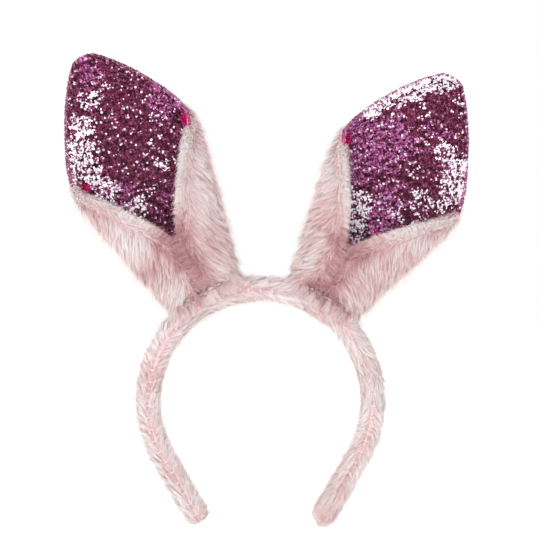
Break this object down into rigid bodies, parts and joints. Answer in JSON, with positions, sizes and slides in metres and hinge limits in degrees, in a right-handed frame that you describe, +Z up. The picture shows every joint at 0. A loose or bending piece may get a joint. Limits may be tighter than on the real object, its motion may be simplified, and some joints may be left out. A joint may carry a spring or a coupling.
{
  "type": "animal ears headband",
  "caption": "Plush bunny-ear headband: sprung arch band in a fur sleeve, two wired fold-open ears with glitter fronts that tilt fore and aft.",
  "frame": {"origin": "centre of the arch, on the axis of the round space that grips the head", "axes": "+Z up towards the crown, +Y from front to back so the glitter fronts face -Y, +X to the right of a front view"},
  "size_m": [0.2377, 0.0306, 0.277],
  "materials": {
    "core": "satin moulded",
    "fur": "long-pile plush fur",
    "thread": "twisted thread",
    "felt": "needled felt",
    "lining": "woven",
    "glitter": "chunky glitter flakes",
    "piping": "folded satin piping",
    "wire": "drawn wire",
    "binding": "woven tape"
  },
  "bodies": {
    "band": {"band_core": "core", "band_sleeve": "fur", "band_seam_stitches": "thread"},
    "ear_left": {"ear_left_fur_back": "fur", "ear_left_felt": "felt", "ear_left_lining": "lining", "ear_left_glitter": "glitter", "ear_left_piping": "piping", "ear_left_wire": "wire", "ear_left_topstitches": "thread", "ear_left_fold_stitches": "thread", "ear_left_root_binding": "binding", "ear_left_anchor_stitches": "thread"},
    "ear_right": {"ear_right_fur_back": "fur", "ear_right_felt": "felt", "ear_right_lining": "lining", "ear_right_glitter": "glitter", "ear_right_piping": "piping", "ear_right_wire": "wire", "ear_right_topstitches": "thread", "ear_right_fold_stitches": "thread", "ear_right_root_binding": "binding", "ear_right_anchor_stitches": "thread"}
  },
  "joints": [
    {"name": "ear_left_tilt", "type": "hinge", "parent": "band", "child": "ear_left", "pos_m": [-0.03025, 0, 0.0581], "axis": [0.887, 0, 0.4617], "range_deg": [-35, 35]},
    {"name": "ear_right_tilt", "type": "hinge", "parent": "band", "child": "ear_right", "pos_m": [0.03422, 0, 0.05585], "axis": [0.8526, 0, -0.5225], "range_deg": [-35, 35]}
  ]
}
